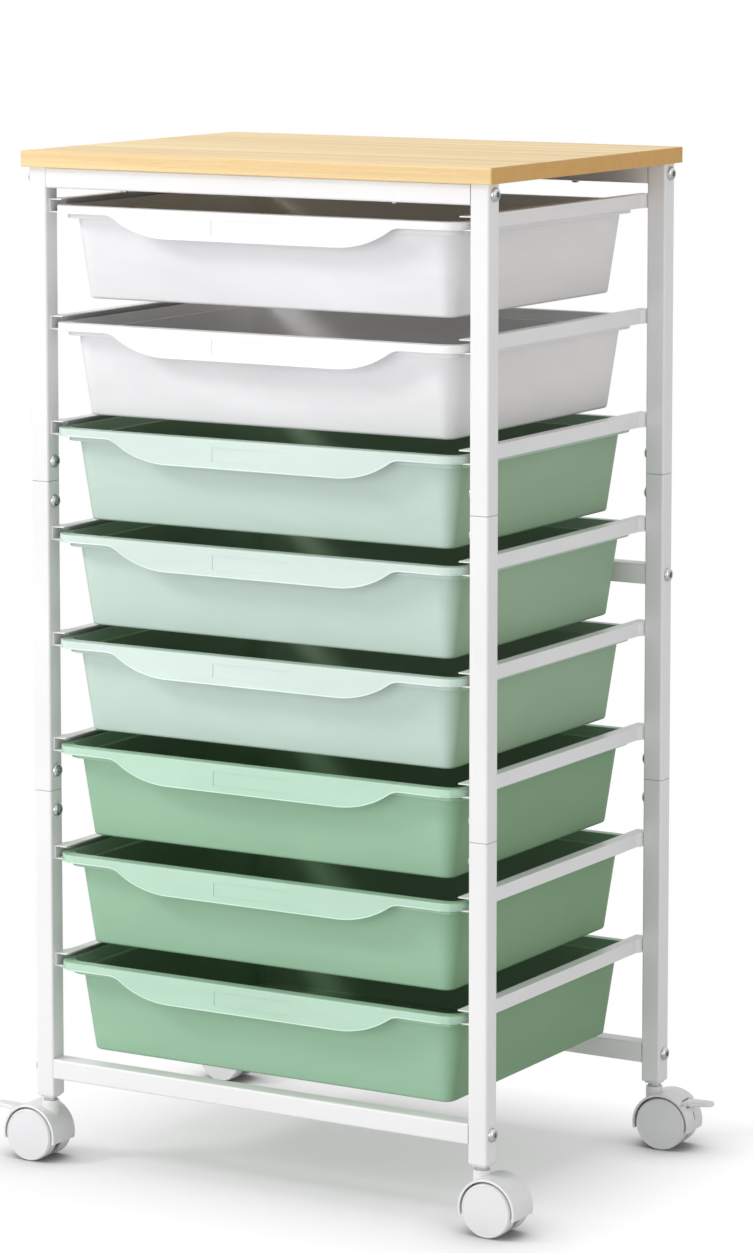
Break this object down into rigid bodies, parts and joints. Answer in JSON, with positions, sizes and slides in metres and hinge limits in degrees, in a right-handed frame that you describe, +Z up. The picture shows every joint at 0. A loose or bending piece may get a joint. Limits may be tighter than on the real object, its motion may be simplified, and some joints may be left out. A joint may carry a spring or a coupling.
{
  "type": "rolling drawer cart",
  "caption": "Rolling cart for square craft paper: tube frame with a board on top, pull-out plastic drawers hung on side rails, and twin-wheel swivel casters, some with brakes.",
  "frame": {"origin": "on the floor, at the middle of the rectangle that the four posts make", "axes": "+Z up, -Y to the front where the drawers pull out, +X to the right seen from the front"},
  "size_m": [0.6185, 0.3946, 1],
  "materials": {
    "board": "satin clear lacquer on pale wood grain",
    "frame_paint": "white powder coat, satin",
    "plain_steel": "plain steel",
    "zinc": "bright zinc plate",
    "die_cast": "as cast",
    "drawer_white": "satin moulded, slightly translucent",
    "drawer_mint": "satin moulded, slightly translucent",
    "drawer_green": "satin moulded, slightly translucent",
    "caster_plastic": "satin nylon",
    "wheel_plastic": "satin nylon",
    "plug_plastic": "satin nylon"
  },
  "bodies": {
    "frame": {"top_board": "board", "left_side_upper": "frame_paint", "left_side_middle": "frame_paint", "left_side_lower": "frame_paint", "right_side_upper": "frame_paint", "right_side_middle": "frame_paint", "right_side_lower": "frame_paint", "front_top_bar": "frame_paint", "rear_top_bar": "frame_paint", "rear_middle_bar": "frame_paint", "front_bottom_bar": "frame_paint", "rear_bottom_bar": "frame_paint", "sleeve_front_left_lower": "plain_steel", "sleeve_front_left_upper": "plain_steel", "sleeve_front_right_lower": "plain_steel", "sleeve_front_right_upper": "plain_steel", "sleeve_rear_right_lower": "plain_steel", "sleeve_rear_right_upper": "plain_steel", "sleeve_rear_left_lower": "plain_steel", "sleeve_rear_left_upper": "plain_steel", "bar_bolts": "zinc", "sleeve_screws": "zinc", "board_screws": "zinc", "bar_end_inserts": "die_cast", "post_plug_front_left": "plug_plastic", "caster_front_left_stem": "zinc", "post_plug_front_right": "plug_plastic", "caster_front_right_stem": "zinc", "post_plug_rear_right": "plug_plastic", "caster_rear_right_stem": "zinc", "post_plug_rear_left": "plug_plastic", "caster_rear_left_stem": "zinc"},
    "drawer_1": {"drawer_1": "drawer_white"},
    "drawer_2": {"drawer_2": "drawer_white"},
    "drawer_3": {"drawer_3": "drawer_mint"},
    "drawer_4": {"drawer_4": "drawer_mint"},
    "drawer_5": {"drawer_5": "drawer_mint"},
    "drawer_6": {"drawer_6": "drawer_green"},
    "drawer_7": {"drawer_7": "drawer_green"},
    "drawer_8": {"drawer_8": "drawer_green"},
    "caster_front_left": {"caster_front_left_housing": "caster_plastic", "caster_front_left_axle": "plain_steel"},
    "wheel_front_left_a": {"caster_front_left_wheel_a": "wheel_plastic"},
    "wheel_front_left_b": {"caster_front_left_wheel_b": "wheel_plastic"},
    "brake_lever_front_left": {"caster_front_left_brake_lever": "caster_plastic"},
    "caster_front_right": {"caster_front_right_housing": "caster_plastic", "caster_front_right_axle": "plain_steel"},
    "wheel_front_right_a": {"caster_front_right_wheel_a": "wheel_plastic"},
    "wheel_front_right_b": {"caster_front_right_wheel_b": "wheel_plastic"},
    "caster_rear_right": {"caster_rear_right_housing": "caster_plastic", "caster_rear_right_axle": "plain_steel"},
    "wheel_rear_right_a": {"caster_rear_right_wheel_a": "wheel_plastic"},
    "wheel_rear_right_b": {"caster_rear_right_wheel_b": "wheel_plastic"},
    "brake_lever_rear_right": {"caster_rear_right_brake_lever": "caster_plastic"},
    "caster_rear_left": {"caster_rear_left_housing": "caster_plastic", "caster_rear_left_axle": "plain_steel"},
    "wheel_rear_left_a": {"caster_rear_left_wheel_a": "wheel_plastic"},
    "wheel_rear_left_b": {"caster_rear_left_wheel_b": "wheel_plastic"}
  },
  "joints": [
    {"name": "drawer_1_slide", "type": "slide", "parent": "frame", "child": "drawer_1", "axis": [0, -1, 0], "range_m": [0, 0.26]},
    {"name": "drawer_2_slide", "type": "slide", "parent": "frame", "child": "drawer_2", "axis": [0, -1, 0], "range_m": [0, 0.26]},
    {"name": "drawer_3_slide", "type": "slide", "parent": "frame", "child": "drawer_3", "axis": [0, -1, 0], "range_m": [0, 0.26]},
    {"name": "drawer_4_slide", "type": "slide", "parent": "frame", "child": "drawer_4", "axis": [0, -1, 0], "range_m": [0, 0.26]},
    {"name": "drawer_5_slide", "type": "slide", "parent": "frame", "child": "drawer_5", "axis": [0, -1, 0], "range_m": [0, 0.26]},
    {"name": "drawer_6_slide", "type": "slide", "parent": "frame", "child": "drawer_6", "axis": [0, -1, 0], "range_m": [0, 0.26]},
    {"name": "drawer_7_slide", "type": "slide", "parent": "frame", "child": "drawer_7", "axis": [0, -1, 0], "range_m": [0, 0.26]},
    {"name": "drawer_8_slide", "type": "slide", "parent": "frame", "child": "drawer_8", "axis": [0, -1, 0], "range_m": [0, 0.26]},
    {"name": "caster_front_left_swivel", "type": "hinge", "parent": "frame", "child": "caster_front_left", "pos_m": [-0.245, -0.176, 0.05], "axis": [0, 0, 1], "continuous": true},
    {"name": "wheel_front_left_a_roll", "type": "hinge", "parent": "caster_front_left", "child": "wheel_front_left_a", "pos_m": [-0.2593, -0.176, 0.026], "axis": [0, -1, 0], "continuous": true},
    {"name": "wheel_front_left_b_roll", "type": "hinge", "parent": "caster_front_left", "child": "wheel_front_left_b", "pos_m": [-0.2593, -0.176, 0.026], "axis": [0, -1, 0], "continuous": true},
    {"name": "brake_lever_front_left_press", "type": "hinge", "parent": "caster_front_left", "child": "brake_lever_front_left", "pos_m": [-0.28066, -0.176, 0.04663], "axis": [0, -1, 0], "range_deg": [0, 15]},
    {"name": "caster_front_right_swivel", "type": "hinge", "parent": "frame", "child": "caster_front_right", "pos_m": [0.245, -0.176, 0.05], "axis": [0, 0, 1], "continuous": true},
    {"name": "wheel_front_right_a_roll", "type": "hinge", "parent": "caster_front_right", "child": "wheel_front_right_a", "pos_m": [0.2593, -0.176, 0.026], "axis": [0, 1, 0], "continuous": true},
    {"name": "wheel_front_right_b_roll", "type": "hinge", "parent": "caster_front_right", "child": "wheel_front_right_b", "pos_m": [0.2593, -0.176, 0.026], "axis": [0, 1, 0], "continuous": true},
    {"name": "caster_rear_right_swivel", "type": "hinge", "parent": "frame", "child": "caster_rear_right", "pos_m": [0.245, 0.176, 0.05], "axis": [0, 0, 1], "continuous": true},
    {"name": "wheel_rear_right_a_roll", "type": "hinge", "parent": "caster_rear_right", "child": "wheel_rear_right_a", "pos_m": [0.25927, 0.177, 0.026], "axis": [-0.0698, 0.9976, 0], "continuous": true},
    {"name": "wheel_rear_right_b_roll", "type": "hinge", "parent": "caster_rear_right", "child": "wheel_rear_right_b", "pos_m": [0.25927, 0.177, 0.026], "axis": [-0.0698, 0.9976, 0], "continuous": true},
    {"name": "brake_lever_rear_right_press", "type": "hinge", "parent": "caster_rear_right", "child": "brake_lever_rear_right", "pos_m": [0.28058, 0.17849, 0.04663], "axis": [-0.0698, 0.9976, 0], "range_deg": [0, 15]},
    {"name": "caster_rear_left_swivel", "type": "hinge", "parent": "frame", "child": "caster_rear_left", "pos_m": [-0.245, 0.176, 0.05], "axis": [0, 0, 1], "continuous": true},
    {"name": "wheel_rear_left_a_roll", "type": "hinge", "parent": "caster_rear_left", "child": "wheel_rear_left_a", "pos_m": [-0.25927, 0.177, 0.026], "axis": [-0.0698, -0.9976, 0], "continuous": true},
    {"name": "wheel_rear_left_b_roll", "type": "hinge", "parent": "caster_rear_left", "child": "wheel_rear_left_b", "pos_m": [-0.25927, 0.177, 0.026], "axis": [-0.0698, -0.9976, 0], "continuous": true}
  ]
}
